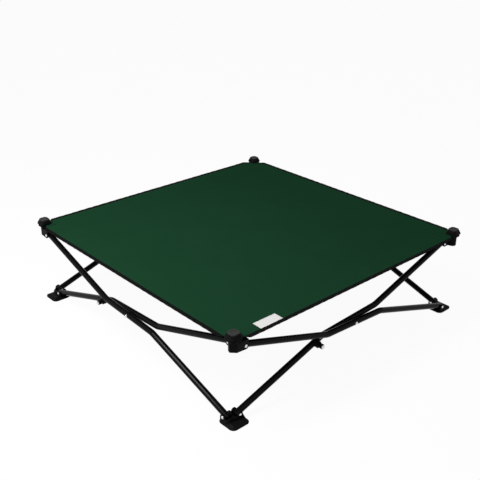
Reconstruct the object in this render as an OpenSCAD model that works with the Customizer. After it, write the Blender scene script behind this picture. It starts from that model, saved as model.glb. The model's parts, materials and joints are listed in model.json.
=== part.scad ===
// Raised dog cot: a square sling held up by a scissor frame that folds into an upright bundle.
// Millimetres, +Z up, floor at z = 0, origin under the middle of the sling, shown open.
// Every side has two bent tubes that cross on a rivet: the outer one runs from the hub at the
// side's near end down to the foot at its far end, the inner one from the near foot up to the
// far hub. The cot looks the same after each quarter turn.

/* [Frame] */
// Distance between the two hub pivots of one side, cot open
pivot_span = 714; // [560:2:960]
// Height of the hub pivots over the foot pivots, cot open
pivot_rise = 181; // [140:1:240]

/* [Tubes] */
// Outside diameter of the tubes
tube_d = 15; // [12:0.5:18]
// Wall of the tubes
tube_wall = 1.2; // [0.8:0.1:2]
// Length of tube past its end pivot
tube_end = 7; // [6:0.5:10]
// Distance between the two bends of a tube, measured along the side
bend_span = 190; // [140:2:260]
// Slope of a tube between its bends, in degrees
mid_slope = 3; // [1:0.5:6]
// Radius of the bends at the tube's axis
bend_r = 45; // [30:1:80]

/* [Centre pivots] */
// Gap between the two tubes of a side, filled by the saddle spacer
spacer_t = 1.5; // [1:0.25:4]
// Outside diameter of the saddle spacer
spacer_d = 16; // [12:0.5:20]
// Height of the spacer's horns beside the outer tube
spacer_horn = 2.6; // [1.5:0.1:4]

/* [Rivets] */
// Diameter of the rivet shanks
rivet_d = 5; // [4:0.25:6]
// Diameter of the domed rivet heads
rivet_head_d = 7.2; // [6.4:0.2:10]
// Height of the domed rivet heads
rivet_head_h = 1.8; // [1:0.1:3]
// Diameter of the clenched rivet ends
clench_d = 6.8; // [6:0.2:8]
// Height of the clenched rivet ends
clench_h = 1.4; // [1:0.1:1.6]

/* [Hubs and feet] */
// Wall of the ears on both sides of a tube
ear_wall = 3.5; // [2.5:0.25:5]
// Radius of the ears round a pivot
ear_r = 7.25; // [6.5:0.25:10]
// Wall between the two tube slots of a corner
core_wall = 5.2; // [4.5:0.1:8]
// Roof over the tube slots of a hub
arm_roof = 4; // [3:0.25:6]
// Height of the cap seat over the hub's arms
seat_rise = 7.2; // [5:0.2:10]
// Width of the square seat plate under the sling
seat_w = 27; // [24:0.5:30]
// Thickness of the seat plate
seat_t = 3.5; // [2.5:0.25:5]
// Corner radius of the seat plate
seat_r = 6; // [3:0.5:8]
// Distance from the axis of a hub's post to its flat outer side
post_flat = 8.6; // [8.2:0.1:11]
// Plastic under the tube ends in a foot
foot_floor = 4.2; // [3.6:0.2:8]
// Width of a foot's square base
foot_w = 52; // [48:0.5:60]
// Corner radius of a foot's base
foot_r = 12; // [5:0.5:14]
// Height of a foot's base at the top of its bevel
foot_h = 7.6; // [6:0.2:9]
// Height of the upright edge round a foot's base
foot_edge = 2.4; // [1.5:0.1:3.5]
// Width of the bevel on a foot's base
foot_bevel = 9; // [4:0.5:11]
// Height at which a foot's sloping brow meets its outer corner
foot_brow = 5; // [3:0.5:9]
// Depth of a foot's core under its pivots, between the ears
foot_dip = 1.2; // [0.6:0.2:3]
// Radius of the upright outer corners of a foot's arms
foot_arm_r = 6; // [3:0.5:8]
// Reach of a foot's base past its outer ear
foot_lip = 3; // [1:0.25:6]
// Thickness of the sloping web that braces a foot's inner ear
foot_web = 3; // [2:0.25:3.5]

/* [Caps] */
// Width of the square cap
cap_w = 31; // [28:0.5:38]
// Corner radius of the cap
cap_r = 8; // [4:0.5:10]
// Height of the cap
cap_h = 14.6; // [10:0.2:18]
// Height of the cap's upright rim
cap_rim = 3.8; // [2.4:0.2:6]
// Height of the gap under the cap's rim
cap_under = 1.4; // [0.8:0.2:2]
// Width of the boss under the cap that clamps the sling
cap_boss_w = 25; // [24:0.5:27]
// Width of the cap's flat top
cap_top_w = 22; // [12:0.5:24]
// Diameter that rounds off the corners of the cap's flat top
cap_crown_d = 25; // [18:0.5:28]
// Width of the shallow panel sunk into the flat top
cap_panel_w = 12; // [8:0.5:18]
// Depth of the sunk panel
cap_panel_h = 0.6; // [0.3:0.1:1.2]
// Diameter of the cap screw
screw_d = 4; // [3:0.25:5]
// Diameter of the cap screw's head
screw_head_d = 7.6; // [6.5:0.2:9]
// Height of the cap screw's head
screw_head_h = 2.6; // [2:0.1:3.5]
// Depth of the counterbore under the hub for the screw head
screw_sink = 7; // [4:0.5:12]
// Length of screw inside the cap
screw_grip = 8; // [5:0.5:9]

/* [Stop pegs] */
// Distance of a stop peg from the middle of its side
peg_at = 120; // [110:1:160]
// Diameter of a stop peg
peg_d = 12; // [10.5:0.5:15]
// Diameter of the collar at a peg's foot
collar_d = 17; // [15:0.5:20]
// Length of the collar outwards from its tube
collar_len = 7; // [4:0.5:12]
// Length of a stop peg outwards from its tube
peg_len = 19; // [17:0.5:26]
// Depth of the peg's saddle round its tube
peg_saddle = 2.4; // [1.5:0.1:4]
// Diameter of the flat head on the peg's rivet
peg_head_d = 9.6; // [8:0.2:12]
// Height of the flat head on the peg's rivet
peg_head_h = 1.4; // [1:0.1:2.4]

/* [Sling] */
// Thickness of the sling
sling_t = 1.6; // [1:0.1:2.5]
// Reach of the sling past the cap screws
sling_reach = 19; // [17:0.5:28]
// Width of the edge binding
binding_w = 10; // [6:0.5:16]
// Thickness of the edge binding
binding_t = 2.6; // [2.6:0.1:4]
// Length trimmed off the sling's edge at each corner
corner_trim = 46; // [45:1:50]
// Width of the sling's square tab under a cap
tab_w = 23; // [18:0.5:24]
// Diameter of the hole for the cap screw
sling_hole_d = 7; // [5.5:0.5:9]
// Distance from the hubs to the lines on which the sling folds
fold_gap = 5.5; // [4:0.5:10]

/* [Hidden] */
// Clearances
slot_gap = 0.5;
pin_gap = 0.05;
seat_gap = 0.05;
sling_gap = 0.3;
bend_full = 0.04;
bend_lap = 0.5;
cut = 1;
$fn = 64;

SIDES = ["right", "back", "left", "front"];
CORNERS = ["back_right", "back_left", "front_left", "front_right"];
SIDE_PIECES = ["outer_tube", "inner_tube", "centre_rivet", "centre_spacer", "stop_peg", "peg_rivet",
               "sling_panel", "sling_edge"];
CORNER_PIECES = ["hub", "hub_rivets", "hub_cap", "cap_screw", "foot", "foot_rivets", "sling_corner"];

// Pivots and tube planes
half_span = pivot_span / 2;
swing_r = norm([tube_end, tube_d / 2]);
slot_half = tube_d / 2 + slot_gap;
slot_reach = swing_r + slot_gap;
ear_half = slot_half + ear_wall;
tube_pitch = tube_d + spacer_t;
arm_len = slot_reach + core_wall;
outer_plane = half_span + arm_len + slot_half;
inner_plane = outer_plane - tube_pitch;
foot_z = foot_floor + slot_reach;
hub_z = foot_z + pivot_rise;
centre_z = (foot_z + hub_z) / 2;

// A tube's shape in its own plane, from its middle outwards
bend_drop = bend_span / 2 * tan(mid_slope);
end_run = half_span - bend_span / 2;
end_rise = pivot_rise / 2 - bend_drop;
end_slope = atan2(end_rise, end_run);
bend_angle = end_slope - mid_slope;
bend_tangent = bend_r * tan(bend_angle / 2);
mid_half = norm([bend_span / 2, bend_drop]) - bend_tangent;
end_len = norm([end_run, end_rise]) - bend_tangent;

// Hubs, caps and sling
cap_c = outer_plane;
hub_low = hub_z - ear_r;
arm_top = hub_z + slot_reach + arm_roof;
sling_z = arm_top + seat_rise;
cap_z = sling_z + sling_t;
sling_half = cap_c + sling_reach;
fold_line = inner_plane - ear_half - fold_gap;
foot_c = outer_plane + ear_half + foot_lip - foot_w / 2;

// The cone that rounds a cap's upper corners, from below its foot to above its top
cap_corner = cap_w / 2 * sqrt(2) - cap_r * (sqrt(2) - 1);
crown_lean = (cap_corner - cap_crown_d / 2) / (cap_h - cap_rim);
crown_low_r = cap_corner + (cap_rim + cut) * crown_lean;
crown_high_r = cap_crown_d / 2 - cut * crown_lean;

// The stop peg's place on the foot end of the inner tube
peg_z = centre_z - bend_drop - (peg_at - bend_span / 2) * tan(end_slope);
peg_base = inner_plane + tube_d / 2;

// Placing: a side is drawn as the right one and a corner as the back right one
module on_side(k) {
    rotate([0, 0, 90 * k]) children();
}

module at_corner(k) {
    rotate([0, 0, 90 * k]) children();
}

// Turns a shape drawn with X along the side and Y up into the upright plane of the right side
module in_side_plane(plane) {
    translate([plane, 0, 0]) rotate([90, 0, 90]) children();
}

// Swaps X and Y, which turns a hub's plan into a foot's
module swapped() {
    mirror([1, -1, 0]) children();
}

module rounded_square(w, r) {
    square([w, w - 2 * r], center = true);
    square([w - 2 * r, w], center = true);
    for (x = [-1, 1], y = [-1, 1])
        translate([x, y] * (w / 2 - r)) circle(r);
}

// A rounded square block whose four sides lean in above its upright rim
module bevelled_block(w, r, h, rim, top_w) {
    intersection() {
        linear_extrude(h) rounded_square(w, r);
        for_both_ways()
            rotate([90, 0, 0])
                linear_extrude(w + 2 * cut, center = true)
                    polygon([
                        [-w / 2, 0], [w / 2, 0], [w / 2, rim],
                        [top_w / 2, h], [-top_w / 2, h], [-w / 2, rim]
                    ]);
    }
}

module for_both_ways() {
    intersection() {
        children();
        rotate([0, 0, 90]) children();
    }
}

// Tubes

// One half of a bent rod, in the XY plane, from the end of its straight middle outwards.
// The straight runs enter the bends, which are a hair fuller, so that they join cleanly.
module rod_end(d, extra) {
    translate([mid_half, bend_r, 0]) rotate([0, 0, -90])
        rotate_extrude(angle = bend_angle) translate([bend_r, 0]) circle(d = d + 2 * bend_full);
    translate([mid_half + bend_r * sin(bend_angle), bend_r * (1 - cos(bend_angle)), 0])
        rotate([0, 0, bend_angle]) rotate([0, 90, 0]) translate([0, 0, -bend_lap])
            cylinder(d = d, h = bend_lap + end_len + tube_end + extra);
}

module bent_rod(d, extra = 0) {
    rotate([0, 90, 0]) cylinder(d = d, h = 2 * (mid_half + bend_lap), center = true);
    rod_end(d, extra);
    rotate([0, 0, 180]) rod_end(d, extra);
}

// The bent tube in its side's plane: its high end is at +X
module bent_tube() {
    difference() {
        translate([0, centre_z]) rotate([0, 0, mid_slope]) bent_rod(tube_d);
        translate([0, centre_z]) rotate([0, 0, mid_slope]) bent_rod(tube_d - 2 * tube_wall, cut);
        for (p = [[half_span, hub_z], [0, centre_z], [-half_span, foot_z]])
            translate(p) rivet_hole();
    }
}

module rivet_hole() {
    cylinder(d = rivet_d + 2 * pin_gap, h = tube_d + 2 * cut, center = true);
}

module outer_tube(k) {
    color("#1b1b1d") on_side(k) in_side_plane(outer_plane) mirror([1, 0, 0]) bent_tube();
}

module inner_tube(k) {
    color("#1b1b1d") on_side(k) in_side_plane(inner_plane) difference() {
        bent_tube();
        translate([-peg_at, peg_z]) rivet_hole();
    }
}

// Rivets

// A rivet along +Z with its clenched end's face at z = 0 and its head's face at z = grip
module rivet(grip, head_d, head_h, flat_head = false) {
    translate([0, 0, -clench_h / 2]) cylinder(d = rivet_d, h = grip + (clench_h + head_h) / 2);
    translate([0, 0, grip]) {
        if (flat_head) cylinder(d = head_d, h = head_h);
        else dome(head_d, head_h);
    }
    mirror([0, 0, 1]) dome(clench_d, clench_h);
}

// A domed button of the given rim diameter and height, on the XY plane
module dome(d, h) {
    ball_r = (pow(d / 2, 2) + h * h) / (2 * h);
    intersection() {
        translate([0, 0, h - ball_r]) sphere(ball_r);
        cylinder(d = d + cut, h = h + cut);
    }
}

module centre_rivet(k) {
    color("#c9ccd0") on_side(k)
        translate([inner_plane - tube_d / 2 - seat_gap, 0, centre_z]) rotate([0, 90, 0])
            rivet(tube_pitch + tube_d + 2 * seat_gap, rivet_head_d, rivet_head_h);
}

// Saddle spacer: flat towards the inner tube, hollowed to sit round the outer one
module centre_spacer(k) {
    color("#26262a") on_side(k) difference() {
        translate([inner_plane + tube_d / 2 + seat_gap, 0, centre_z]) rotate([0, 90, 0])
            cylinder(d = spacer_d, h = spacer_t - seat_gap + spacer_horn);
        in_side_plane(outer_plane) translate([0, centre_z]) rotate([0, 0, -mid_slope])
            rotate([0, 90, 0]) cylinder(d = tube_d + 2 * seat_gap, h = spacer_d + 2 * cut, center = true);
        in_side_plane(inner_plane + tube_pitch / 2) translate([0, centre_z]) rivet_hole();
    }
}

// Stop pegs

module stop_peg(k) {
    color("#1d1d20") on_side(k) difference() {
        translate([peg_base - peg_saddle, -peg_at, peg_z]) rotate([0, 90, 0]) {
            cylinder(d = peg_d, h = peg_saddle + peg_len);
            cylinder(d = collar_d, h = peg_saddle + collar_len);
        }
        in_side_plane(inner_plane) translate([-peg_at, peg_z]) rotate([0, 0, end_slope])
            rotate([0, 90, 0]) cylinder(d = tube_d + 2 * seat_gap, h = collar_d + 4 * cut, center = true);
        translate([peg_base, -peg_at, peg_z]) rotate([0, 90, 0])
            cylinder(d = rivet_d + 2 * pin_gap, h = 2 * (peg_len + cut), center = true);
    }
}

module peg_rivet(k) {
    color("#c9ccd0") on_side(k)
        translate([inner_plane - tube_d / 2 - seat_gap, -peg_at, peg_z]) rotate([0, 90, 0])
            rivet(tube_d + peg_len + 2 * seat_gap, peg_head_d, peg_head_h, flat_head = true);
}

// Hubs and feet

// The arm that holds a tube's end, seen from the side: an ear round the pivot at the origin, and
// a bar that runs on to x = len from the given top to a chin on the pivot's other side
module arm_outline(len, top, chin) {
    circle(ear_r);
    translate([-ear_r, 0]) square([ear_r + cut, top]);
    translate([0, -chin]) square([len, chin + top]);
}

// Two arms at right angles in plan, solid: the outer tube's along X and the inner tube's along Y
module arms(outer_len, top, chin) {
    translate([half_span, outer_plane + ear_half, 0]) rotate([90, 0, 0])
        linear_extrude(2 * ear_half) arm_outline(outer_len, top, chin);
    translate([inner_plane - ear_half, half_span, 0]) rotate([90, 0, 90])
        linear_extrude(2 * ear_half) arm_outline(arm_len, top, chin);
}

// The room the two tubes need to swing in the arms: round at the pivot, open below and inwards
module swing_slots() {
    translate([half_span, outer_plane, 0]) rotate([90, 0, 0]) swing_slot();
    translate([inner_plane, half_span, 0]) rotate([90, 0, 90]) swing_slot();
}

module swing_slot() {
    room = ear_r + half_span;
    linear_extrude(2 * slot_half, center = true) {
        circle(slot_reach);
        translate([-room, -room]) square([room + slot_reach, room]);
        translate([-room, 0]) square([room, slot_reach]);
    }
}

// The bores for the two end rivets, with pockets for the clenched ends
module end_bores() {
    for_end_rivets() {
        translate([0, 0, -cut]) cylinder(d = rivet_d + 2 * pin_gap, h = 2 * (ear_half + cut));
        mirror([0, 0, 1]) cylinder(d = clench_d + 2 * slot_gap, h = clench_h + slot_gap);
    }
}

// Places a rivet's own frame at both end pivots: z = 0 on the ear's inward face, +Z outwards
module for_end_rivets() {
    translate([half_span, outer_plane - ear_half, 0]) rotate([-90, 0, 0]) children();
    translate([inner_plane - ear_half, half_span, 0]) rotate([0, 90, 0]) children();
}

// The plan of a hub's post: round, with its outer side cut flat across the corner
module post_plan() {
    intersection() {
        circle(ear_half);
        rotate(45) translate([post_flat - ear_half - cut, 0]) square(2 * (ear_half + cut), center = true);
    }
}

module hub(k) {
    color("#202022") at_corner(k) difference() {
        union() {
            translate([0, 0, hub_z]) arms(cap_c - half_span, arm_top - hub_z, ear_r);
            translate([cap_c, cap_c, hub_low]) linear_extrude(sling_z - seat_t / 2 - hub_low) post_plan();
            translate([cap_c, cap_c, sling_z - seat_t])
                linear_extrude(seat_t) rounded_square(seat_w, seat_r);
        }
        translate([0, 0, hub_z]) swing_slots();
        translate([0, 0, hub_z]) end_bores();
        translate([cap_c, cap_c, hub_low - cut]) {
            cylinder(d = screw_d + 2 * pin_gap, h = sling_z - hub_low + 2 * cut);
            cylinder(d = screw_head_d + 2 * slot_gap, h = screw_sink + cut);
        }
    }
}

// The web stands on the base beside the inner ear's end and slopes down to the base's edge
module ear_web() {
    ear_face = inner_plane + ear_half;
    base_edge = foot_c + foot_w / 2 - foot_edge;
    translate([half_span - ear_r + foot_web, 0, 0]) rotate([90, 0, -90])
        linear_extrude(foot_web)
            polygon([
                [cut - ear_face, foot_edge], [-base_edge, foot_edge],
                [-ear_face, foot_z], [cut - ear_face, foot_z]
            ]);
}

// The plan that rounds the foot's arms off at the outer corner
module foot_plan() {
    low = half_span - ear_r - cut;
    far = outer_plane + ear_half;
    end = half_span + arm_len;
    translate([low, low]) square([far - low, end - foot_arm_r - low]);
    translate([low, low]) square([far - foot_arm_r - low, far - low]);
    translate([far, end] - [foot_arm_r, foot_arm_r]) circle(foot_arm_r);
}

// What is cut off the arms to leave a brow that slopes from past the outer ear to the outer corner
module brow_cut() {
    top = foot_z - foot_dip;
    reach = outer_plane + ear_half + half_span;
    crest = (reach + ear_r) / sqrt(2) + slot_gap;
    tip = (reach + arm_len) / sqrt(2);
    rotate([0, 0, 45]) rotate([90, 0, 0]) linear_extrude(2 * foot_w, center = true)
        polygon([
            [crest, top], [tip, foot_brow], [tip + foot_w, foot_brow],
            [tip + foot_w, top + cut], [crest, top + cut]
        ]);
}

module foot(k) {
    color("#202022") at_corner(k) difference() {
        union() {
            translate([foot_c, foot_c, 0])
                bevelled_block(foot_w, foot_r, foot_h, foot_edge, foot_w - 2 * foot_bevel);
            difference() {
                intersection() {
                    translate([0, 0, foot_z]) mirror([0, 0, 1]) swapped()
                        arms(arm_len, foot_z - foot_edge, -foot_dip);
                    linear_extrude(foot_z + ear_r + cut) foot_plan();
                }
                brow_cut();
            }
            ear_web();
        }
        translate([0, 0, foot_z]) mirror([0, 0, 1]) swapped() swing_slots();
        translate([0, 0, foot_z]) swapped() end_bores();
    }
}

module end_rivets() {
    for_end_rivets() rivet(2 * ear_half, rivet_head_d, rivet_head_h);
}

module hub_rivets(k) {
    color("#c9ccd0") at_corner(k) translate([0, 0, hub_z]) end_rivets();
}

module foot_rivets(k) {
    color("#c9ccd0") at_corner(k) translate([0, 0, foot_z]) swapped() end_rivets();
}

// Caps

module hub_cap(k) {
    color("#3a3a3d") at_corner(k) translate([cap_c, cap_c, cap_z]) difference() {
        intersection() {
            bevelled_block(cap_w, cap_r, cap_h, cap_rim, cap_top_w);
            translate([0, 0, -cut]) cylinder(r1 = crown_low_r, r2 = crown_high_r, h = cap_h + 2 * cut);
        }
        translate([0, 0, -cut]) cylinder(d = screw_d + 2 * pin_gap, h = screw_grip + 2 * cut);
        translate([0, 0, cap_h - cap_panel_h]) linear_extrude(cap_panel_h + cut)
            rounded_square(cap_panel_w, cap_panel_w / 4);
        translate([0, 0, -cut]) linear_extrude(cap_under + cut) difference() {
            square(2 * cap_w, center = true);
            rounded_square(cap_boss_w, seat_r);
        }
    }
}

module cap_screw(k) {
    head_z = hub_low + screw_sink - screw_head_h;
    color("#8d9094") at_corner(k) translate([cap_c, cap_c, head_z]) {
        cylinder(d = screw_head_d, h = screw_head_h);
        cylinder(d = screw_d, h = cap_z + screw_grip - head_z);
    }
}

// Sling: four triangles that fold down between the hubs, four edges and four corners

module sling_panel(k) {
    reach = fold_line - sling_gap / 2;
    inset = sling_gap / 2 * sqrt(2);
    color("#1c432d") on_side(k) translate([0, 0, sling_z]) linear_extrude(sling_t)
        polygon([[inset, 0], [reach, inset - reach], [reach, reach - inset]]);
}

module sling_edge(k) {
    first = fold_line + sling_gap / 2;
    len = 2 * (fold_line - sling_gap / 2);
    color("#1c432d") on_side(k) translate([0, -len / 2, sling_z]) {
        translate([first, 0, 0]) cube([sling_half - binding_w - first, len, sling_t]);
        translate([sling_half - binding_w, 0, (sling_t - binding_t) / 2]) cube([binding_w, len, binding_t]);
    }
}

module sling_corner(k) {
    low = fold_line + sling_gap / 2;
    far = sling_half - corner_trim;
    color("#1c432d") at_corner(k) translate([0, 0, sling_z]) difference() {
        union() {
            linear_extrude(sling_t) {
                polygon([
                    [low, low], [sling_half, low], [sling_half, far], [far, sling_half], [low, sling_half]
                ]);
                translate([cap_c, cap_c]) square(tab_w, center = true);
            }
            corner_binding(low);
            swapped() corner_binding(low);
        }
        translate([cap_c, cap_c, -cut]) cylinder(d = sling_hole_d, h = sling_t + 2 * cut);
    }
}

// The edge binding runs on along a corner piece until it meets the trimmed corner or the cap
module corner_binding(low) {
    cap_edge = cap_c - cap_w / 2 - sling_gap;
    far = sling_half - corner_trim;
    inner = sling_half - binding_w;
    translate([0, 0, (sling_t - binding_t) / 2]) linear_extrude(binding_t)
        polygon([
            [inner, low], [sling_half, low],
            [sling_half, min(far, cap_edge)], [inner, min(far + binding_w, cap_edge)]
        ]);
}

// Nodes
for (k = [0:3]) {
    outer_tube(k);
    inner_tube(k);
    centre_rivet(k);
    centre_spacer(k);
    stop_peg(k);
    peg_rivet(k);
    sling_panel(k);
    sling_edge(k);
    hub(k);
    hub_rivets(k);
    hub_cap(k);
    cap_screw(k);
    foot(k);
    foot_rivets(k);
    sling_corner(k);
}
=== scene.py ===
"""Raised dog cot: finishes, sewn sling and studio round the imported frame, in metres.

The frame's axes are +X right, +Y back and +Z up, with the floor at z = 0 and the sling's middle
over the origin.
"""

import json
import logging
import math
from dataclasses import dataclass, field
from enum import Enum

import bmesh
import bpy
from mathutils import Matrix, Vector, noise


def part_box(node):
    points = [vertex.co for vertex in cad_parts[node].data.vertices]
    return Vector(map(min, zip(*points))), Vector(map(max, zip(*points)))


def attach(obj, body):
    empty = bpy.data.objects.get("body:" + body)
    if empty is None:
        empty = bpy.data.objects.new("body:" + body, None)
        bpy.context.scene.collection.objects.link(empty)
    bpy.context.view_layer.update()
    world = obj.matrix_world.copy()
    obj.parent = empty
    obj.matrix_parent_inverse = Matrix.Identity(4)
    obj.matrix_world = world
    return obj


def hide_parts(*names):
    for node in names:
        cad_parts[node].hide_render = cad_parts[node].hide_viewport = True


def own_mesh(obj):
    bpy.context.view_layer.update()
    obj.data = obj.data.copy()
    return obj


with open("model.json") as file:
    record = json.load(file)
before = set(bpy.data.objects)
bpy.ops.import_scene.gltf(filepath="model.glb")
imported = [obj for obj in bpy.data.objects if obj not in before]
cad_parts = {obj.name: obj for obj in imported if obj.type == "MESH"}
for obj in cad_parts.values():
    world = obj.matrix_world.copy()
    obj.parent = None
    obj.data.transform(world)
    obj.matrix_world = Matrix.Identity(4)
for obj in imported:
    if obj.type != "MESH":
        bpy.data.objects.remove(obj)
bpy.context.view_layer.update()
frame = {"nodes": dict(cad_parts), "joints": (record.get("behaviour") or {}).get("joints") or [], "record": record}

LOG = logging.getLogger("dog_cot")
UP = Vector((0.0, 0.0, 1.0))
WHITE = (1.0, 1.0, 1.0, 1.0)
SHARP_FROM = math.radians(32)
LEVEL_WITHIN = 1e-7
BODY_OF = {
    node: body
    for body, nodes in frame["record"]["behaviour"]["bodies"].items()
    for node in nodes
}

Colour = tuple[float, float, float, float]
Point = tuple[float, float]
Triple = tuple[float, float, float]
Mesh = bmesh.types.BMesh
Edge = bmesh.types.BMEdge
Material = bpy.types.Material
NodeTree = bpy.types.NodeTree
Piece = bpy.types.Object
Socket = bpy.types.NodeSocket
Sockets = bpy.types.bpy_prop_collection
Value = float | tuple | Socket


class Quarter(Enum):
    """A place on the cot, counted in quarter turns from the first of its kind."""

    def of(self, piece: str) -> str:
        """The name of a piece at this place."""
        return f"{piece}_{self.name.lower()}"

    @property
    def turn(self) -> Matrix:
        """The turn from the first place to this one."""
        return Matrix.Rotation(math.pi / 2 * self.value, 4, UP)


class Side(Quarter):
    """A side of the cot, from the right one round to the front one."""

    RIGHT = 0
    BACK = 1
    LEFT = 2
    FRONT = 3

    @property
    def run(self) -> Vector:
        """The direction along the side, from its loose end to the hub that carries the sling."""
        x, y = ((0.0, 1.0), (1.0, 0.0), (0.0, -1.0), (-1.0, 0.0))[self.value]
        return Vector((x, y, 0.0))


class Corner(Quarter):
    """A corner of the cot, from the back right one round to the front right one."""

    BACK_RIGHT = 0
    BACK_LEFT = 1
    FRONT_LEFT = 2
    FRONT_RIGHT = 3


class Source(Enum):
    """Where a finish reads the place on a surface."""

    PIECE = "Object"
    MAP = "UV"


class Slot(Enum):
    """The record's material slots that new pieces' finishes belong to."""

    PLASTIC = "black_plastic"
    CLOTH = "sling_cloth"


class Graph:
    """A shader node tree with short calls that add and wire its nodes."""

    def __init__(self, tree: NodeTree) -> None:
        """Wraps a node tree."""
        self.tree = tree

    def feed(self, socket: Socket, value: Value) -> None:
        """Feeds an input.

        Args:
            socket: the input.
            value: a socket to link it to, or the plain value to set it to.
        """
        if isinstance(value, Socket):
            self.tree.links.new(value, socket)
        else:
            socket.default_value = value

    def add(self, kind: str, settings: dict | None = None, **inputs: Value) -> bpy.types.Node:
        """Adds a node.

        Args:
            kind: Blender's name for the node type.
            settings: properties of the node, such as its operation.
            inputs: inputs by name, with an underscore for a space.

        Returns:
            The new node.
        """
        node = self.tree.nodes.new(kind)
        for key, value in (settings or {}).items():
            setattr(node, key, value)
        for key, value in inputs.items():
            self.feed(node.inputs[key.replace("_", " ")], value)
        return node

    def group(self, tree: NodeTree, **inputs: Value) -> Sockets:
        """Places a node group and returns its outputs by name."""
        return self.add("ShaderNodeGroup", {"node_tree": tree}, **inputs).outputs

    def maths(self, operation: str, *values: Value) -> Socket:
        """Adds one step of arithmetic.

        Args:
            operation: Blender's name for the operation.
            values: numbers or sockets, in order.

        Returns:
            The result's socket.
        """
        node = self.add("ShaderNodeMath", {"operation": operation})
        for socket, value in zip(node.inputs, values):
            self.feed(socket, value)
        return node.outputs[0]

    def between(self, share: Value, first: Value, last: Value) -> Socket:
        """A number that goes from first to last as share goes from 0 to 1."""
        return self._mix("FLOAT", {0: share, 2: first, 3: last}, 0)

    def tint(self, share: Value, first: Value, last: Value) -> Socket:
        """A colour that goes from first to last as share goes from 0 to 1."""
        return self._mix("RGBA", {0: share, 6: first, 7: last}, 2)

    def rise(self, value: Value, start: Value, width: float) -> Socket:
        """A number that goes from 0 to 1 as value goes on from start over a width."""
        end = self.maths("ADD", start, width)
        return self.add("ShaderNodeMapRange", Value=value, From_Min=start, From_Max=end).outputs[0]

    def _mix(self, kind: str, values: dict[int, Value], result: int) -> Socket:
        """Adds a mix.

        Args:
            kind: Blender's name for what is mixed.
            values: the values by the number of their input.
            result: the number of the result's output.

        Returns:
            The result's socket.
        """
        node = self.add("ShaderNodeMix", {"data_type": kind})
        for number, value in values.items():
            self.feed(node.inputs[number], value)
        return node.outputs[result]


class Effects:
    """Surface effects that several finishes share, each a node group that is built once."""

    THREAD_ROUND = 0.6
    THREAD_DIP = 0.5
    GRAIN_DETAIL = 2.0
    CLOUD_DETAIL = 4.0
    RUB_LEVEL = 0.78
    RUB_FADE = 0.12

    def __init__(self) -> None:
        """Builds the groups."""
        self.weave = self._weave()
        self.grain = self._grain()
        self.rub = self._rub()

    @staticmethod
    def _open(name: str, inputs: list[str], outputs: list[str]) -> tuple[Graph, Sockets, Sockets]:
        """Opens a new node group that reads a place on the surface.

        Args:
            name: the group's name.
            inputs: names of its number inputs, after the place.
            outputs: names of its number outputs.

        Returns:
            The group's graph, its inputs and its outputs.
        """
        tree = bpy.data.node_groups.new(name, "ShaderNodeTree")
        sockets = [("Place", "INPUT", "NodeSocketVector")]
        sockets += [(word, "INPUT", "NodeSocketFloat") for word in inputs]
        sockets += [(word, "OUTPUT", "NodeSocketFloat") for word in outputs]
        for word, way, kind in sockets:
            tree.interface.new_socket(word, in_out=way, socket_type=kind)
        graph = Graph(tree)
        return graph, graph.add("NodeGroupInput").outputs, graph.add("NodeGroupOutput").inputs

    def _weave(self) -> NodeTree:
        """A plain weave in the XY plane of the place, which is counted in threads.

        Returns:
            The group: Height is the threads' relief, Tone a shade of its own for each thread.
        """
        graph, inlet, outlet = self._open("Plain weave", [], ["Height", "Tone"])
        threads = graph.add("ShaderNodeSeparateXYZ", Vector=inlet["Place"])
        waves, shades, tops = [], [], []
        for axis in "XY":
            along = threads.outputs[axis]
            waves.append(graph.maths("SINE", graph.maths("MULTIPLY", along, math.pi)))
            number = graph.maths("FLOOR", along)
            shade = graph.add("ShaderNodeTexWhiteNoise", {"noise_dimensions": "1D"}, W=number)
            shades.append(shade.outputs[0])
        crowns = [graph.maths("ABSOLUTE", wave) for wave in waves]
        for own, other in (crowns, reversed(crowns)):
            crown = graph.maths("POWER", own, self.THREAD_ROUND)
            dip = graph.between(other, self.THREAD_DIP, 1.0)
            tops.append(graph.maths("MULTIPLY", crown, dip))
        warp_over = graph.maths("GREATER_THAN", graph.maths("MULTIPLY", *waves), 0.0)
        graph.feed(outlet["Height"], graph.between(warp_over, tops[1], tops[0]))
        graph.feed(outlet["Tone"], graph.between(warp_over, shades[1], shades[0]))
        return graph.tree

    def _grain(self) -> NodeTree:
        """A fine moulded or sprayed grain.

        Returns:
            The group: Size is the width of a grain, Height its relief, Cloud the width of a cloud,
            Tone a broad cloudiness.
        """
        graph, inlet, outlet = self._open("Fine grain", ["Size", "Cloud"], ["Height", "Tone"])
        details = (("Height", "Size", self.GRAIN_DETAIL), ("Tone", "Cloud", self.CLOUD_DETAIL))
        for word, size, detail in details:
            specks = graph.add(
                "ShaderNodeTexNoise",
                Vector=inlet["Place"],
                Scale=graph.maths("DIVIDE", 1.0, inlet[size]),
                Detail=detail,
                Roughness=0.55,
            )
            graph.feed(outlet[word], specks.outputs[0])
        return graph.tree

    def _rub(self) -> NodeTree:
        """Sparse marks where a surface has been handled and rubbed.

        Returns:
            The group: Size is the spacing of the marks, Share how much they cover, Mask is 1 on
            them.
        """
        graph, inlet, outlet = self._open("Rub marks", ["Size", "Share"], ["Mask"])
        patches = graph.add(
            "ShaderNodeTexNoise",
            Vector=inlet["Place"],
            Scale=graph.maths("DIVIDE", 1.0, inlet["Size"]),
            Detail=7.0,
            Roughness=0.68,
            Distortion=0.6,
        )
        level = graph.maths("SUBTRACT", self.RUB_LEVEL, inlet["Share"])
        graph.feed(outlet["Mask"], graph.rise(patches.outputs[0], level, self.RUB_FADE))
        return graph.tree


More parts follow.
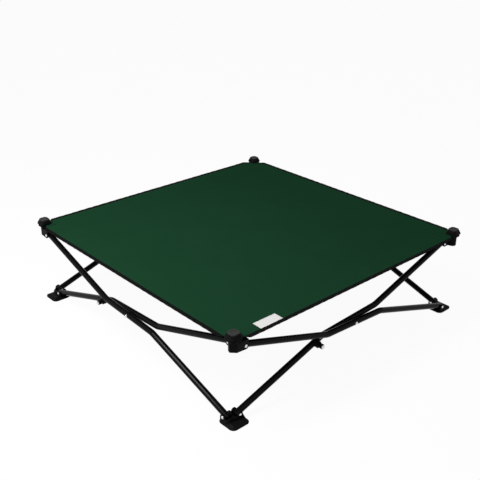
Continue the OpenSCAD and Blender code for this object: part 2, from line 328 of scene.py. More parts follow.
class Coat(Graph):
    """A new material's nodes, with its shader's inputs and the shared effects at hand."""

    def __init__(self, name: str, gloss: float, effects: Effects) -> None:
        """Makes the material.

        Args:
            name: its name.
            gloss: the strength of its mirror gloss.
            effects: the shared effects.
        """
        self.material = bpy.data.materials.new(name)
        self.material.use_nodes = True
        super().__init__(self.material.node_tree)
        self.effects = effects
        self.shader = self.tree.nodes["Principled BSDF"].inputs
        self.feed(self.shader["Specular IOR Level"], gloss)

    def place(self, source: Source = Source.PIECE) -> Socket:
        """The place on the surface."""
        return self.add("ShaderNodeTexCoord").outputs[source.value]

    def relief(self, height: Socket, depth: float, strength: float) -> None:
        """Gives the surface a relief.

        Args:
            height: the relief, from 0 to 1.
            depth: its depth.
            strength: how strongly it shows.
        """
        bump = self.add("ShaderNodeBump", Height=height, Distance=depth, Strength=strength)
        self.feed(self.shader["Normal"], bump.outputs[0])


@dataclass(frozen=True)
class Finish:
    """What every finish has: a colour, a roughness and a strength of mirror gloss."""

    name: str
    colour: Colour
    roughness: float
    gloss: float

    def shades(self, contrast: float) -> tuple[Colour, Colour]:
        """The colour made darker and lighter.

        Args:
            contrast: by which share.

        Returns:
            The darker colour and the lighter one.
        """
        return tuple(
            (*(channel * factor for channel in self.colour[:3]), 1.0)
            for factor in (1.0 - contrast, 1.0 + contrast)
        )

    def material(self, effects: Effects) -> Material:
        """Makes the finish's material.

        Args:
            effects: the shared effects.

        Returns:
            The material.
        """
        coat = Coat(self.name, self.gloss, effects)
        self.wire(coat)
        return coat.material

    def wire(self, coat: Coat) -> None:
        """Wires the finish's own detail into its material's nodes."""
        raise NotImplementedError


@dataclass(frozen=True)
class GrainedFinish(Finish):
    """A hard finish with fine grain, clouds and rubbed marks: by default, moulded black plastic."""

    grain: float = 0.0007
    grain_depth: float = 0.00006
    grain_strength: float = 0.5
    cloud: float = 0.012
    contrast: float = 0.3
    smoother: float = 0.08
    rougher: float = 0.08
    mark_size: float = 0.009
    mark_share: float = 0.1
    mark_dulling: float = 0.15
    marked: Colour = (0.014, 0.014, 0.015, 1.0)
    metal: float = 0.0

    def wire(self, coat: Coat) -> None:
        """Wires the grain, the cloudiness and the marks.

        Args:
            coat: the material's nodes.
        """
        place = coat.place()
        grain = coat.group(coat.effects.grain, Place=place, Size=self.grain, Cloud=self.cloud)
        marks = coat.group(
            coat.effects.rub, Place=place, Size=self.mark_size, Share=self.mark_share
        )["Mask"]
        body = coat.tint(grain["Tone"], *self.shades(self.contrast))
        coat.feed(coat.shader["Base Color"], coat.tint(marks, body, self.marked))
        smooth, dull = self.roughness - self.smoother, self.roughness + self.rougher
        clean = coat.between(grain["Tone"], smooth, dull)
        rubbed = self.roughness + self.mark_dulling
        coat.feed(coat.shader["Roughness"], coat.between(marks, clean, rubbed))
        coat.feed(coat.shader["Metallic"], self.metal)
        coat.relief(grain["Height"], self.grain_depth, self.grain_strength)


@dataclass(frozen=True)
class TubePaint(GrainedFinish):
    """Sprayed gloss black on the frame's tubes, with orange peel and rubbed places."""

    grain: float = 0.0016
    grain_depth: float = 0.00004
    grain_strength: float = 0.35
    cloud: float = 0.03
    contrast: float = 0.25
    smoother: float = 0.06
    rougher: float = 0.06
    mark_size: float = 0.018
    mark_share: float = 0.06
    mark_dulling: float = 0.2
    marked: Colour = (0.012, 0.012, 0.013, 1.0)


@dataclass(frozen=True)
class TopLitCap(GrainedFinish):
    """Moulded plastic of the caps, with painted light: their crowns tinted a greyer shade as if lit from above."""

    crown: float = 0.0
    crown_depth: float = 0.0035
    crown_fade: float = 0.0012
    crown_cloud: float = 0.006
    # painted light: the lighter grey that the cap's top is tinted, standing in for light from above
    painted_top_light: Colour = (0.042, 0.0412, 0.0402, 1.0)
    painted_light_least: float = 0.6

    def wire(self, coat: Coat) -> None:
        """Wires the plastic's detail and, over it, the painted light on the crown.

        Args:
            coat: the material's nodes.
        """
        super().wire(coat)
        moulded = coat.shader["Base Color"].links[0].from_socket
        place = coat.place()
        height = coat.add("ShaderNodeSeparateXYZ", Vector=place).outputs["Z"]
        cloud = coat.group(
            coat.effects.grain, Place=place, Size=self.grain, Cloud=self.crown_cloud
        )["Tone"]
        # painted highlight: the top few millimetres of the cap turn greyer, with a random cloudy edge
        edge = coat.between(cloud, self.crown - self.crown_depth, self.crown - self.crown_fade)
        reach = coat.rise(height, edge, self.crown_fade)
        share = coat.maths("MULTIPLY", reach, coat.between(cloud, self.painted_light_least, 1.0))
        coat.feed(coat.shader["Base Color"], coat.tint(share, moulded, self.painted_top_light))


@dataclass(frozen=True)
class BrightSteel(GrainedFinish):
    """Bright zinc-plated steel of the rivets and screws, dulled in places."""

    grain: float = 0.0005
    grain_depth: float = 0.00002
    grain_strength: float = 0.3
    cloud: float = 0.004
    contrast: float = 0.12
    smoother: float = 0.06
    rougher: float = 0.08
    mark_size: float = 0.004
    mark_share: float = 0.16
    mark_dulling: float = 0.22
    marked: Colour = (0.396, 0.396, 0.402, 1.0)
    metal: float = 1.0


@dataclass(frozen=True)
class WovenCloth(Finish):
    """Coated woven cloth: sling, corner patches and label."""

    source: Source = Source.PIECE
    warp: float = 0.0007
    weft: float = 0.0007
    contrast: float = 0.22
    thread_share: float = 0.45
    cloud: float = 0.11
    cloud_share: float = 0.35
    duller: float = 0.06
    shinier: float = 0.06
    relief: float = 0.00018
    relief_strength: float = 0.6

    def wire(self, coat: Coat) -> None:
        """Wires the weave, a shade for each thread and a broad cloudiness.

        Args:
            coat: the material's nodes.
        """
        place = coat.place(self.source)
        counted = coat.add(
            "ShaderNodeMapping",
            {"vector_type": "TEXTURE"},
            Vector=place,
            Scale=(self.warp, self.weft, 1.0),
        )
        weave = coat.group(coat.effects.weave, Place=counted.outputs[0])
        cloud = coat.group(coat.effects.grain, Place=place, Cloud=self.cloud)
        threads = coat.between(self.thread_share, weave["Height"], weave["Tone"])
        tone = coat.between(self.cloud_share, threads, cloud["Tone"])
        coat.feed(coat.shader["Base Color"], coat.tint(tone, *self.shades(self.contrast)))
        dull, smooth = self.roughness + self.duller, self.roughness - self.shinier
        coat.feed(coat.shader["Roughness"], coat.between(weave["Height"], dull, smooth))
        coat.relief(weave["Height"], self.relief, self.relief_strength)


@dataclass(frozen=True)
class RibbedTape(WovenCloth):
    """Black tape whose ribs run across it; it reads the tape's own UV map."""

    source: Source = Source.MAP
    warp: float = 0.0004
    weft: float = 0.0009
    contrast: float = 0.45
    thread_share: float = 0.4
    cloud: float = 0.02
    cloud_share: float = 0.3
    duller: float = 0.05
    shinier: float = 0.08
    relief: float = 0.0002
    relief_strength: float = 0.7


@dataclass(frozen=True)
class SewingThread(Finish):
    """Twisted polyester thread."""

    twist: float = 0.00035
    twist_depth: float = 0.00008
    twist_strength: float = 0.6
    cloud: float = 0.003
    contrast: float = 0.3
    play: float = 0.1

    def wire(self, coat: Coat) -> None:
        """Wires the twist and a shade that changes along the thread.

        Args:
            coat: the material's nodes.
        """
        place = coat.place()
        twist = coat.group(coat.effects.grain, Place=place, Size=self.twist, Cloud=self.cloud)
        coat.feed(coat.shader["Base Color"], coat.tint(twist["Tone"], *self.shades(self.contrast)))
        smooth, dull = self.roughness - self.play, self.roughness + self.play
        coat.feed(coat.shader["Roughness"], coat.between(twist["Height"], smooth, dull))
        coat.relief(twist["Height"], self.twist_depth, self.twist_strength)


class Look(Enum):
    """The finishes of the cot."""

    PAINT = TubePaint("tube_paint", (0.0040, 0.0040, 0.0044, 1.0), roughness=0.13, gloss=0.05)
    PLASTIC = GrainedFinish(
        "hub_plastic", (0.0042, 0.0042, 0.0045, 1.0), roughness=0.52, gloss=0.04
    )
    CAP = TopLitCap(
        "cap_plastic",
        (0.0046, 0.0046, 0.0046, 1.0),
        roughness=0.5,
        gloss=0.03,
        crown=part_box("hub_cap_back_right")[1].z,
    )
    STEEL = BrightSteel("rivet_steel", (0.66, 0.66, 0.67, 1.0), roughness=0.27, gloss=0.5)
    CLOTH = WovenCloth("sling_weave", (0.0098, 0.0455, 0.0208, 1.0), roughness=0.86, gloss=0.0)
    TAPE = RibbedTape("binding_tape", (0.0040, 0.0045, 0.0042, 1.0), roughness=0.78, gloss=0.02)
    THREAD = SewingThread("seam_thread", (0.0055, 0.0080, 0.0065, 1.0), roughness=0.62, gloss=0.05)
    LABEL = WovenCloth(
        "label_weave",
        (0.74, 0.74, 0.73, 1.0),
        roughness=0.7,
        gloss=0.25,
        warp=0.00045,
        weft=0.00045,
        contrast=0.06,
        relief=0.00008,
    )
    LABEL_THREAD = SewingThread("label_thread", (0.70, 0.70, 0.69, 1.0), roughness=0.6, gloss=0.25)


Finishes = dict[Look, Material]


def shade_smooth(mesh: Mesh, limit: float = SHARP_FROM) -> None:
    """Smooths a mesh's shading everywhere but at its edges.

    Args:
        mesh: the mesh.
        limit: the angle between faces from which an edge stays sharp.
    """
    for face in mesh.faces:
        face.smooth = True
    for edge in mesh.edges:
        edge.smooth = len(edge.link_faces) == 2 and edge.calc_face_angle() < limit


def round_edges(mesh: Mesh, edges: list[Edge], radius: float, segments: int) -> None:
    """Rounds edges of a mesh.

    Args:
        mesh: the mesh.
        edges: the edges.
        radius: the rounding's radius.
        segments: how many faces the rounding has.
    """
    bmesh.ops.bevel(
        mesh, geom=edges, affect="EDGES", offset=radius, segments=segments, profile=0.5, material=-1
    )


def make_piece(
    name: str, mesh: Mesh, material: Material, body: str, slot: Slot, node: str = ""
) -> Piece:
    """Turns a finished mesh into a piece that rides on a body.

    Args:
        name: the piece's name.
        mesh: its mesh, in place, which is used up.
        material: its finish.
        body: the body that it moves with.
        slot: the record's slot that its finish belongs to; not used.
        node: the CAD node that it replaces, if any.

    Returns:
        The piece.
    """
    data = bpy.data.meshes.new(name)
    mesh.to_mesh(data)
    mesh.free()
    data.materials.append(material)
    piece = bpy.data.objects.new(name, data)
    bpy.context.scene.collection.objects.link(piece)
    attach(piece, body)
    if node:
        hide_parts(node)
    LOG.info("%s: %d faces, rides on %s", name, len(data.polygons), body)
    return piece


@dataclass
class TubeFrame:
    """The scissor frame: tubes, rivets, spacers and pegs, whose solids stay and are dressed."""

    finishes: Finishes

    def dress(self) -> None:
        """Gives every solid of the frame its finish."""
        for side in Side:
            for piece in ("outer_tube", "inner_tube"):
                self._cover(side.of(piece), Look.PAINT)
            for piece in ("centre_spacer", "stop_peg"):
                self._cover(side.of(piece), Look.PLASTIC)
            for piece in ("centre_rivet", "peg_rivet"):
                self._cover(side.of(piece), Look.STEEL)
        for corner in Corner:
            for piece in ("hub_rivets", "foot_rivets", "cap_screw"):
                self._cover(corner.of(piece), Look.STEEL)

    def _cover(self, node: str, look: Look) -> None:
        """Puts a finish on a CAD node.

        Args:
            node: the node's name.
            look: the finish.
        """
        for slot in frame["nodes"][node].material_slots:
            slot.material = self.finishes[look]
        LOG.info("%s: dressed in %s", node, look.value.name)


@dataclass
class CornerFittings:
    """Hubs, caps and feet: the solids with their moulded edges rounded."""

    finishes: Finishes
    edge_radius: float = 0.0007
    rounds: int = 2
    post_r: float = 0.0115
    post_within: float = 0.000115
    post_rim_radius: float = 0.0032
    foot_rim_radius: float = 0.0020
    full_rounds: int = 4
    wall_tilt: float = 0.2
    top_tilt: float = 0.4
    weld: float = 0.000004
    flat_within: float = math.radians(0.6)
    sharp_from: float = math.radians(30)

    def build(self) -> None:
        """Builds the fittings of every corner."""
        for corner in Corner:
            hub = self._welded(corner.of("hub"))
            low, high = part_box(corner.of("hub_cap"))
            rim = self._post_rim(hub, (low + high) / 2)
            round_edges(hub, rim, self.post_rim_radius, self.full_rounds)
            self._round_off(corner.of("hub"), hub, self.finishes[Look.PLASTIC])
            foot = self._welded(corner.of("foot"))
            round_edges(foot, self._foot_rim(foot), self.foot_rim_radius, self.full_rounds)
            self._round_off(corner.of("foot"), foot, self.finishes[Look.PLASTIC])
            cap = self._welded(corner.of("hub_cap"))
            self._round_off(corner.of("hub_cap"), cap, self.finishes[Look.CAP])

    def _welded(self, node: str) -> Mesh:
        """A copy of a CAD node's mesh with its triangles joined up.

        Args:
            node: the CAD node.

        Returns:
            The mesh.
        """
        mesh = bmesh.new()
        mesh.from_mesh(frame["nodes"][node].data)
        bmesh.ops.remove_doubles(mesh, verts=mesh.verts, dist=self.weld)
        bmesh.ops.dissolve_limit(
            mesh, angle_limit=self.flat_within, verts=mesh.verts, edges=mesh.edges
        )
        return mesh

    def _post_rim(self, mesh: Mesh, middle: Vector) -> list[Edge]:
        """The edges round the foot of a hub's post.

        Args:
            mesh: the hub's mesh.
            middle: a point on the post's axis.

        Returns:
            The edges.
        """
        lowest = min(vert.co.z for vert in mesh.verts)
        around = {
            vert
            for vert in mesh.verts
            if vert.co.z - lowest < self.weld
            and abs((vert.co - middle).xy.length - self.post_r) < self.post_within
        }
        return [edge for edge in mesh.edges if around.issuperset(edge.verts)]

    def _foot_rim(self, mesh: Mesh) -> list[Edge]:
        """The edges where a foot's top meets the walls that stand on the floor.

        Args:
            mesh: the foot's mesh.

        Returns:
            The edges.
        """
        rim = []
        for edge in mesh.edges:
            tilts = sorted(face.normal.z for face in edge.link_faces)
            lows = sorted(min(vert.co.z for vert in face.verts) for face in edge.link_faces)
            if len(lows) != 2 or not lows[0] < self.weld <= lows[1]:
                continue
            if abs(tilts[0]) < self.wall_tilt and tilts[1] > self.top_tilt:
                rim.append(edge)
        return rim

    def _round_off(self, node: str, mesh: Mesh, material: Material) -> None:
        """Makes the piece that stands for a node, with rounded edges.

        Args:
            node: the CAD node.
            mesh: its joined-up mesh, which is used up.
            material: the piece's finish.
        """
        shade_smooth(mesh, self.sharp_from)
        piece = make_piece(f"moulded_{node}", mesh, material, BODY_OF[node], Slot.PLASTIC, node)
        rounding = piece.modifiers.new("moulded edges", "BEVEL")
        rounding.width = self.edge_radius
        rounding.segments = self.rounds
        rounding.limit_method = "ANGLE"
        rounding.angle_limit = self.sharp_from
        rounding.harden_normals = True


@dataclass
class Drape:
    """How the stretched cloth leaves its flat plane: a slight sag, pulls and puckers.

    On the diagonals it lies by meet_lift over the plane, so that the triangles meet when they are
    folded down.
    """

    half: float
    cap_reach: float
    sag: float = 0.0003
    swell: float = 0.0007
    swell_length: float = 0.15
    swell_layer: float = 0.0
    pull: float = 0.0005
    pull_reach: float = 0.11
    pull_layer: float = 1.0
    pull_wander: float = 2.0
    pulls: float = 11.0
    pucker: float = 0.00028
    pucker_length: float = 0.024
    pucker_layer: float = 2.0
    pucker_wander: float = 2.5
    pucker_reach: float = 0.011
    meet_reach: float = 0.10
    meet_lift: float = 0.0004

    def height(self, x: float, y: float) -> float:
        """The cloth's height over its flat plane.

        Args:
            x: the place along X.
            y: the place along Y.

        Returns:
            The height, below zero where the cloth sags.
        """
        slack = max(0.0, 1.0 - (x / self.half) ** 2) * max(0.0, 1.0 - (y / self.half) ** 2)
        swell = self.swell * noise.noise(Vector((x, y, self.swell_layer)) / self.swell_length)
        loose = slack * (swell - self.sag) + self._pulls(x, y)
        away = min(1.0, abs(abs(x) - abs(y)) / self.meet_reach)
        free = away * away * (3.0 - 2.0 * away)
        meeting = self.meet_lift * min(1.0, self._past_cap(x, y) / self.cap_reach)
        return free * loose + (1.0 - free) * meeting + self._puckers(x, y)

    def _past_cap(self, x: float, y: float) -> float:
        """How far a place lies past the reach of the nearest cap, 0 where the cap holds it."""
        return max(0.0, math.hypot(self.half - abs(x), self.half - abs(y)) - self.cap_reach)

    def _pulls(self, x: float, y: float) -> float:
        """Ripples that run out from the nearest cap.

        Args:
            x: the place along X.
            y: the place along Y.

        Returns:
            Their height.
        """
        far = self._past_cap(x, y)
        fade = min(1.0, far / self.cap_reach) * math.exp(-((far / self.pull_reach) ** 2))
        spoke = math.atan2(self.half - abs(y), self.half - abs(x))
        wander = noise.noise(Vector((x, y, self.pull_layer)) / self.pull_reach)
        return self.pull * fade * math.sin(spoke * self.pulls + self.pull_wander * wander)

    def _puckers(self, x: float, y: float) -> float:
        """Puckers that the binding's seam draws into the edge.

        Args:
            x: the place along X.
            y: the place along Y.

        Returns:
            Their height.
        """
        inward = self.half - max(abs(x), abs(y))
        along = y if abs(x) > abs(y) else x
        hold = min(1.0, max(0.0, (self.half - self.cap_reach - abs(along)) / self.cap_reach))
        wander = noise.noise(Vector((x, y, self.pucker_layer)) / self.pucker_length)
        wave = math.sin(math.tau * along / self.pucker_length + self.pucker_wander * wander)
        return self.pucker * hold * wave * math.exp(-inward / self.pucker_reach)


@dataclass
class Stitching:
    """Rows of running stitches, each stitch a small rounded block of thread."""

    length: float = 0.0029
    pitch: float = 0.0040
    width: float = 0.0006
    thick: float = 0.0005
    rounding: float = 0.3
    rounds: int = 1
    sharp_from: float = math.radians(60)

    def row(self, mesh: Mesh, start: Vector, end: Vector) -> None:
        """Lays one row of stitches.

        Args:
            mesh: the mesh that the stitches are added to.
            start: where the row starts.
            end: where the row ends.
        """
        run = end - start
        count = max(1, round(run.length / self.pitch))
        heading = Matrix.Rotation(math.atan2(run.y, run.x), 4, UP)
        size = Matrix.Diagonal((self.length, self.width, self.thick, 1.0))
        for number in range(count):
            middle = Matrix.Translation(start + run * ((number + 0.5) / count))
            bmesh.ops.create_cube(mesh, size=1.0, matrix=middle @ heading @ size)

    def round_off(self, mesh: Mesh) -> None:
        """Rounds every stitch of a mesh that holds stitches only."""
        round_edges(mesh, mesh.edges[:], self.thick * self.rounding, self.rounds)
        shade_smooth(mesh, self.sharp_from)


@dataclass
class Sling:
    """The sling: one cloth in four triangles, four edges and four corners, bound and sewn."""

    finishes: Finishes
    cloth_t: float = 0.0008
    tape_t: float = 0.0006
    tape_w: float = 0.010
    tape_turns: int = 6
    cells: int = 140
    rows: int = 10
    patch_w: float = 0.042
    corner_trim: float = 0.050
    tab_w: float = 0.023
    seam_in: float = 0.0022
    stitching: Stitching = field(default_factory=Stitching)

    def __post_init__(self) -> None:
        """Reads the sling's plan from the frame."""
        panel_low, panel_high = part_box("sling_panel_right")
        edge_low, edge_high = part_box("sling_edge_right")
        cap_low, cap_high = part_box("hub_cap_back_right")
        self.fold = (panel_high.x + edge_low.x) / 2
        self.half = edge_high.x
        self.underside = panel_low.z
        self.tab_low = (cap_low.x + cap_high.x - self.tab_w) / 2
        self.cloth_edge = self.half - self.tape_t - self.cloth_t / 2
        self.tape_inner = self.half - self.tape_w
        self.patch_low = self.half - self.patch_w
        self.trim_sum = 2 * self.half - self.corner_trim
        self.tape_faces = (self.cloth_t + self.tape_t, -self.tape_t)
        self.drape = Drape(self.half, self.half - cap_low.x)
        self.keep = self._folded_share()

    def _folded_share(self) -> float:
        """How much of a side's cloth length is left between the hubs when the cot is folded.

        Returns:
            The share.
        """
        joints = {joint["name"]: joint for joint in frame["joints"]}
        low = Vector(joints["fold"]["pos_m"])
        high = Vector(joints["hub_front_left_outer_front"]["pos_m"])
        reach = high - low
        span = math.hypot(reach.x, reach.y)
        slope = math.atan2(reach.z, span) + math.radians(joints["fold"]["range_deg"][1])
        return 1.0 - (span - reach.length * math.cos(slope)) / (2 * self.fold)

    def build(self) -> dict[Side, Piece]:
        """Builds the whole sling.

        Returns:
            The edges by their side.
        """
        hubs = [corner.of("moulded_hub") for corner in Corner]
        edges = {}
        for side in Side:
            panel = self._cloth("cloth_panel", self._triangle(), side, "sling_panel")
            strip = self.rectangle(
                (self.fold, -self.fold), (self.cloth_edge, self.fold), self.rows, self.cells
            )
            edge = self._cloth("cloth_edge", strip, side, "sling_edge")
            tape = self._tape(-self.fold, self.fold, self.cells)
            seam = self._binding_seam()
            trim = [
                self.sew(side.of("binding"), tape, side, Look.TAPE),
                self.sew(side.of("binding_stitches"), seam, side, Look.THREAD),
            ]
            edges[side] = edge
        for corner in Corner:
            self._corner(corner)
        return edges

    def sew(
        self, name: str, mesh: Mesh, place: Quarter, look: Look, thick: float = 0.0, node: str = ""
    ) -> Piece:
        """Lays a flat mesh at its place on the sling and makes a piece of it.

        Args:
            name: the piece's name.
            mesh: the mesh on the right side or back right corner, with z = 0 at the cloth's
                underside; it is used up.
            place: the side or corner that it goes to.
            look: its finish.
            thick: how much a sheet grows upwards.
            node: the CAD node that it replaces; trim moves with its side's edge or corner.

        Returns:
            The piece.
        """
        on_side = isinstance(place, Side)
        bmesh.ops.transform(mesh, matrix=place.turn, verts=mesh.verts)
        for vert in mesh.verts:
            vert.co.z += self.underside + self.drape.height(vert.co.x, vert.co.y)
        if thick:
            bmesh.ops.solidify(mesh, geom=mesh.faces[:], thickness=-thick)
            bmesh.ops.recalc_face_normals(mesh, faces=mesh.faces)
            shade_smooth(mesh)
        body = BODY_OF[node or place.of("sling_edge" if on_side else "sling_corner")]
        piece = make_piece(name, mesh, self.finishes[look], body, Slot.CLOTH, node)
        if on_side:
            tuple(place.run)
            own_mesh(piece)
        return piece

    def _cloth(self, name: str, mesh: Mesh, place: Quarter, node: str) -> Piece:
        """Sews a piece of the cloth itself, which stands for a CAD node."""
        return self.sew(place.of(name), mesh, place, Look.CLOTH, self.cloth_t, place.of(node))

    def _triangle(self) -> Mesh:
        """The triangle between the middle and a side's fold line.

        Returns:
            The mesh, flat on the right side.
        """
        mesh = bmesh.new()
        corners = [(0.0, 0.0, 0.0), (self.fold, -self.fold, 0.0), (self.fold, self.fold, 0.0)]
        mesh.faces.new([mesh.verts.new(corner) for corner in corners])
        bmesh.ops.subdivide_edges(mesh, edges=mesh.edges, cuts=self.cells - 1, use_grid_fill=True)
        return mesh

    @staticmethod
    def rectangle(low: Point, high: Point, rows: int, columns: int) -> Mesh:
        """A flat rectangle that faces up, cut into cells.

        Args:
            low: its lowest X and Y.
            high: its highest X and Y.
            rows: cells along X.
            columns: cells along Y.

        Returns:
            The mesh.
        """
        mesh = bmesh.new()
        plan = [(low[0], low[1]), (high[0], low[1]), (high[0], high[1]), (low[0], high[1])]
        mesh.faces.new([mesh.verts.new((*point, 0.0)) for point in plan])
        for axis, count in ((0, rows), (1, columns)):
            across = [
                edge
                for edge in mesh.edges
                if abs(edge.verts[0].co[1 - axis] - edge.verts[1].co[1 - axis]) < LEVEL_WITHIN
            ]
            bmesh.ops.subdivide_edges(mesh, edges=across, cuts=count - 1, use_grid_fill=True)
        return mesh

    def _tape(self, first: float, last: float, cells: int) -> Mesh:
        """Binding tape folded round the right edge, with a UV map across and along it.

        Args:
            first: where the tape starts along Y.
            last: where it ends.
            cells: cells along it.

        Returns:
            The mesh, flat on the cloth.
        """
        mesh = bmesh.new()
        ends = [mesh.verts.new((self.tape_inner, y, self.cloth_t)) for y in (first, last)]
        bmesh.ops.subdivide_edges(mesh, edges=[mesh.edges.new(ends)], cuts=cells - 1)
        flap = Vector((self.cloth_edge - self.tape_inner, 0.0, 0.0))
        line = self._sweep(mesh, mesh.edges[:], flap)
        turned = bmesh.ops.spin(
            mesh,
            geom=line + list({vert for edge in line for vert in edge.verts}),
            cent=(self.cloth_edge, 0.0, self.cloth_t / 2),
            axis=(0.0, 1.0, 0.0),
            angle=math.pi,
            steps=self.tape_turns,
        )
        self._sweep(mesh, [part for part in turned["geom_last"] if isinstance(part, Edge)], -flap)
        bmesh.ops.recalc_face_normals(mesh, faces=mesh.faces)
        bmesh.ops.solidify(mesh, geom=mesh.faces[:], thickness=-self.tape_t)
        bmesh.ops.recalc_face_normals(mesh, faces=mesh.faces)
        mesh.loops.layers.uv.new("tape")
        self._map_flat(mesh)
        shade_smooth(mesh)
        return mesh

    @staticmethod
    def _map_flat(mesh: Mesh) -> None:
        """Maps a tape flat, across and along it.

        Args:
            mesh: the tape on the right edge.
        """
        flat = mesh.loops.layers.uv.active
        for face in mesh.faces:
            for loop in face.loops:
                loop[flat].uv = loop.vert.co.xy

    @staticmethod
    def _sweep(mesh: Mesh, edges: list[Edge], offset: Vector) -> list[Edge]:
        """Extrudes a line of edges.

        Args:
            mesh: the mesh.
            edges: the line.
            offset: how far and where to.

        Returns:
            The new line's edges.
        """
        made = bmesh.ops.extrude_edge_only(mesh, edges=edges)["geom"]
        fresh = {part for part in made if isinstance(part, bmesh.types.BMVert)}
        bmesh.ops.translate(mesh, vec=offset, verts=list(fresh))
        return [part for part in made if isinstance(part, Edge) and fresh.issuperset(part.verts)]

    def _seam(self, mesh: Mesh, start: Point, end: Point, levels: tuple[float, ...]) -> None:
        """Sews rows of stitches over each other.

        Args:
            mesh: the mesh that the stitches are added to.
            start: where the rows start.
            end: where the rows end.
            levels: the height of each row over the cloth's underside.
        """
        for level in levels:
            self.stitching.row(mesh, Vector((*start, level)), Vector((*end, level)))

    def _binding_seam(self) -> Mesh:
        """The rows of stitches along a side's binding, above and below.

        Returns:
            The mesh, flat on the right side.
        """
        mesh = bmesh.new()
        line = self.tape_inner + self.seam_in
        self._seam(mesh, (line, -self.fold), (line, self.fold), self.tape_faces)
        self.stitching.round_off(mesh)
        return mesh

    def _trimmed(self, low: float, high: float, past: bool = False) -> Mesh:
        """A square of the back right corner that ends where the sling's corner is trimmed off.

        Args:
            low: its lowest X and Y.
            high: its highest X and Y.
            past: whether the part past the trim is kept instead.

        Returns:
            The mesh.
        """
        mesh = self.rectangle((low, low), (high, high), self.rows, self.rows)
        bmesh.ops.bisect_plane(
            mesh,
            geom=mesh.verts[:] + mesh.edges[:] + mesh.faces[:],
            plane_co=(self.half, self.half - self.corner_trim, 0.0),
            plane_no=Vector((1.0, 1.0, 0.0)).normalized(),
            clear_outer=not past,
            clear_inner=past,
        )
        return mesh

    @staticmethod
    def _join(mesh: Mesh, other: Mesh) -> None:
        """Adds another mesh to a mesh.

        Args:
            mesh: the mesh that grows.
            other: the other mesh, which is used up.
        """
        passed = bpy.data.meshes.new("passed")
        other.to_mesh(passed)
        other.free()
        mesh.from_mesh(passed)
        bpy.data.meshes.remove(passed)

    def _corner(self, corner: Corner) -> None:
        """Builds a corner: cloth with the tab under the cap, doubling patch, binding and seams.

        Args:
            corner: the corner.
        """
        cloth = self._trimmed(self.fold, self.cloth_edge)
        self._join(cloth, self._trimmed(self.tab_low, self.tab_low + self.tab_w, past=True))
        piece = self._cloth("cloth_corner", cloth, corner, "sling_corner")
        patch = self._trimmed(self.patch_low, self.tape_inner)
        bmesh.ops.translate(patch, vec=UP * self.cloth_t, verts=patch.verts)
        doubling = self.sew(corner.of("corner_patch"), patch, corner, Look.CLOTH, self.cloth_t)
        tape, seams = self._corner_binding(), self._corner_seams()
        trim = [
            self.sew(corner.of("corner_binding"), tape, corner, Look.TAPE),
            self.sew(corner.of("corner_stitches"), seams, corner, Look.THREAD),
        ]
        corner.of("moulded_hub")

    def _corner_binding(self) -> Mesh:
        """The binding that runs on from both sides to the slanting end of the trimmed corner.

        Returns:
            The mesh, flat at the back right corner.
        """
        mesh = self._tape(0.0, 1.0, self.rows // 2)
        for vert in mesh.verts:
            vert.co.y = self.fold + vert.co.y * (self.trim_sum - vert.co.x - self.fold)
        self._map_flat(mesh)
        other = mesh.copy()
        swap = Matrix(((0, 1, 0, 0), (1, 0, 0, 0), (0, 0, 1, 0), (0, 0, 0, 1)))
        bmesh.ops.transform(other, matrix=swap, verts=other.verts)
        bmesh.ops.reverse_faces(other, faces=other.faces)
        self._join(mesh, other)
        return mesh

    def _corner_seams(self) -> Mesh:
        """The seams of a corner: along both bindings and along the patch's inner edges.

        Returns:
            The mesh, flat at the back right corner.
        """
        mesh = bmesh.new()
        line = self.tape_inner + self.seam_in
        stop = self.trim_sum - line - self.stitching.width
        self._seam(mesh, (line, self.fold), (line, stop), self.tape_faces)
        self._seam(mesh, (self.fold, line), (stop, line), self.tape_faces)
        inner = self.patch_low + self.seam_in
        patch_faces = (2 * self.cloth_t, 0.0)
        self._seam(mesh, (inner, inner), (inner, self.tape_inner), patch_faces)
        self._seam(mesh, (inner, inner), (self.tape_inner, inner), patch_faces)
        self.stitching.round_off(mesh)
        return mesh


@dataclass
class Label:
    """The plain white label sewn on the right edge of the sling, near the front."""

    sling: Sling
    width: float = 0.027
    length: float = 0.063
    off_edge: float = 0.0085
    near_end: float = -0.3135
    thick: float = 0.0004
    cells: int = 12
    seam_in: float = 0.0016
    stitching: Stitching = field(
        default_factory=lambda: Stitching(length=0.0016, pitch=0.0023, width=0.0004, thick=0.0003)
    )

    def build(self, edge: Piece) -> None:
        """Sews the label on.

        Args:
            edge: the sling's edge that carries it; not used.
        """
        sling = self.sling
        right = sling.half - self.off_edge
        left, far = right - self.width, self.near_end + self.length
        mesh = sling.rectangle((left, self.near_end), (right, far), self.cells // 2, self.cells)
        bmesh.ops.translate(mesh, vec=UP * sling.cloth_t, verts=mesh.verts)
        piece = sling.sew("label_patch", mesh, Side.RIGHT, Look.LABEL, self.thick)
        seams = bmesh.new()
        xs = (left + self.seam_in, right - self.seam_in)
        ys = (self.near_end + self.seam_in, far - self.seam_in)
        top = sling.cloth_t + self.thick
        ring = [Vector((xs[i], ys[j], top)) for i, j in ((0, 0), (1, 0), (1, 1), (0, 1))]
        for start, end in zip(ring, ring[1:] + ring[:1]):
            self.stitching.row(seams, start, end)
        self.stitching.round_off(seams)
        sewn = sling.sew("label_stitches", seams, Side.RIGHT, Look.LABEL_THREAD)


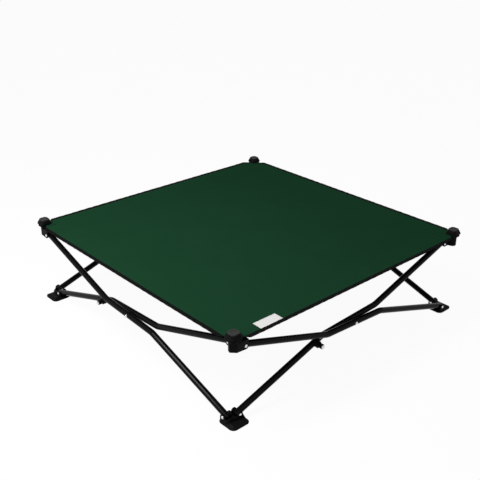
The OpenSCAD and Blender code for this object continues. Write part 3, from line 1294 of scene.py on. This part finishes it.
@dataclass
class Studio:
    """The pale floor, the soft light and the camera at the photograph's angle."""

    eye: Triple = (1.3728, -1.2569, 1.0517)
    back: Triple = (0.67423, -0.60646, 0.42145)
    right: Triple = (0.66767, 0.74445, 0.00313)
    lens: float = 58.02
    sensor: float = 36.0
    floor_w: float = 80.0
    floor_colour: Colour = (0.9, 0.9, 0.9, 1.0)
    floor_shadow: float = 0.05
    sky: float = 0.3
    lamp_place: Triple = (-0.15, -1.25, 1.55)
    lamp_w: float = 0.4
    lamp_h: float = 1.2
    lamp_power: float = 32.0

    def build(self) -> None:
        """Builds floor, world, lamp and camera."""
        bpy.context.scene.view_settings.view_transform = "Standard"
        self._floor()
        self._world()
        self._lamp()
        self._camera()

    def _floor(self) -> None:
        """A white floor that keeps the cot's shadow."""
        mesh = bmesh.new()
        bmesh.ops.create_grid(mesh, x_segments=1, y_segments=1, size=self.floor_w / 2)
        data = bpy.data.meshes.new("floor")
        mesh.to_mesh(data)
        mesh.free()
        floor = bpy.data.objects.new("floor", data)
        bpy.context.scene.collection.objects.link(floor)
        material = bpy.data.materials.new("floor_paper")
        material.use_nodes = True
        graph = Graph(material.node_tree)
        nodes = material.node_tree.nodes
        nodes.remove(nodes["Principled BSDF"])
        paper = graph.add("ShaderNodeBsdfDiffuse", Color=self.floor_colour)
        glow = graph.add("ShaderNodeEmission", Color=WHITE, Strength=1.0)
        seen = graph.maths("MULTIPLY", self._seen(graph), 1.0 - self.floor_shadow)
        mixed = graph.add("ShaderNodeMixShader")
        for socket, value in zip(mixed.inputs, (seen, paper.outputs[0], glow.outputs[0])):
            graph.feed(socket, value)
        graph.feed(nodes["Material Output"].inputs["Surface"], mixed.outputs[0])
        data.materials.append(material)

    @staticmethod
    def _seen(graph: Graph) -> Socket:
        """Which rays show the background: from the camera, by gloss or through glass.

        Args:
            graph: the material's or the world's nodes.

        Returns:
            A socket that is 1 for these rays.
        """
        path = graph.add("ShaderNodeLightPath").outputs
        shown = graph.maths("MAXIMUM", path["Is Camera Ray"], path["Is Glossy Ray"])
        return graph.maths("MAXIMUM", shown, path["Is Transmission Ray"])

    def _world(self) -> None:
        """An even white surround that lights less than it shows."""
        world = bpy.data.worlds.new("studio")
        world.use_nodes = True
        graph = Graph(world.node_tree)
        background = world.node_tree.nodes["Background"].inputs
        graph.feed(background["Color"], WHITE)
        graph.feed(background["Strength"], graph.between(self._seen(graph), self.sky, 1.0))
        bpy.context.scene.world = world

    def _lamp(self) -> None:
        """Hangs an upright soft light that faces the sling."""
        light = bpy.data.lights.new("key_light", "AREA")
        light.shape = "RECTANGLE"
        light.size, light.size_y = self.lamp_w, self.lamp_h
        light.energy = self.lamp_power
        lamp = bpy.data.objects.new("key_light", light)
        lamp.location = self.lamp_place
        lamp.rotation_euler = Vector(self.lamp_place).to_track_quat("Z", "Y").to_euler()
        bpy.context.scene.collection.objects.link(lamp)

    def _camera(self) -> None:
        """Sets the camera up."""
        data = bpy.data.cameras.new("camera")
        data.lens = self.lens
        data.sensor_width = self.sensor
        camera = bpy.data.objects.new("camera", data)
        back, right = Vector(self.back), Vector(self.right)
        axes = Matrix((right, back.cross(right), back)).transposed()
        camera.matrix_world = Matrix.Translation(self.eye) @ axes.to_4x4()
        bpy.context.scene.collection.objects.link(camera)
        bpy.context.scene.camera = camera


def main() -> None:
    """Builds the cot's looks in order."""
    logging.basicConfig(level=logging.INFO, format="%(name)s %(message)s")
    effects = Effects()
    finishes = {look: look.value.material(effects) for look in Look}
    Studio().build()
    TubeFrame(finishes).dress()
    CornerFittings(finishes).build()
    sling = Sling(finishes)
    edges = sling.build()
    Label(sling).build(edges[Side.RIGHT])


if __name__ == "__main__":
    main()
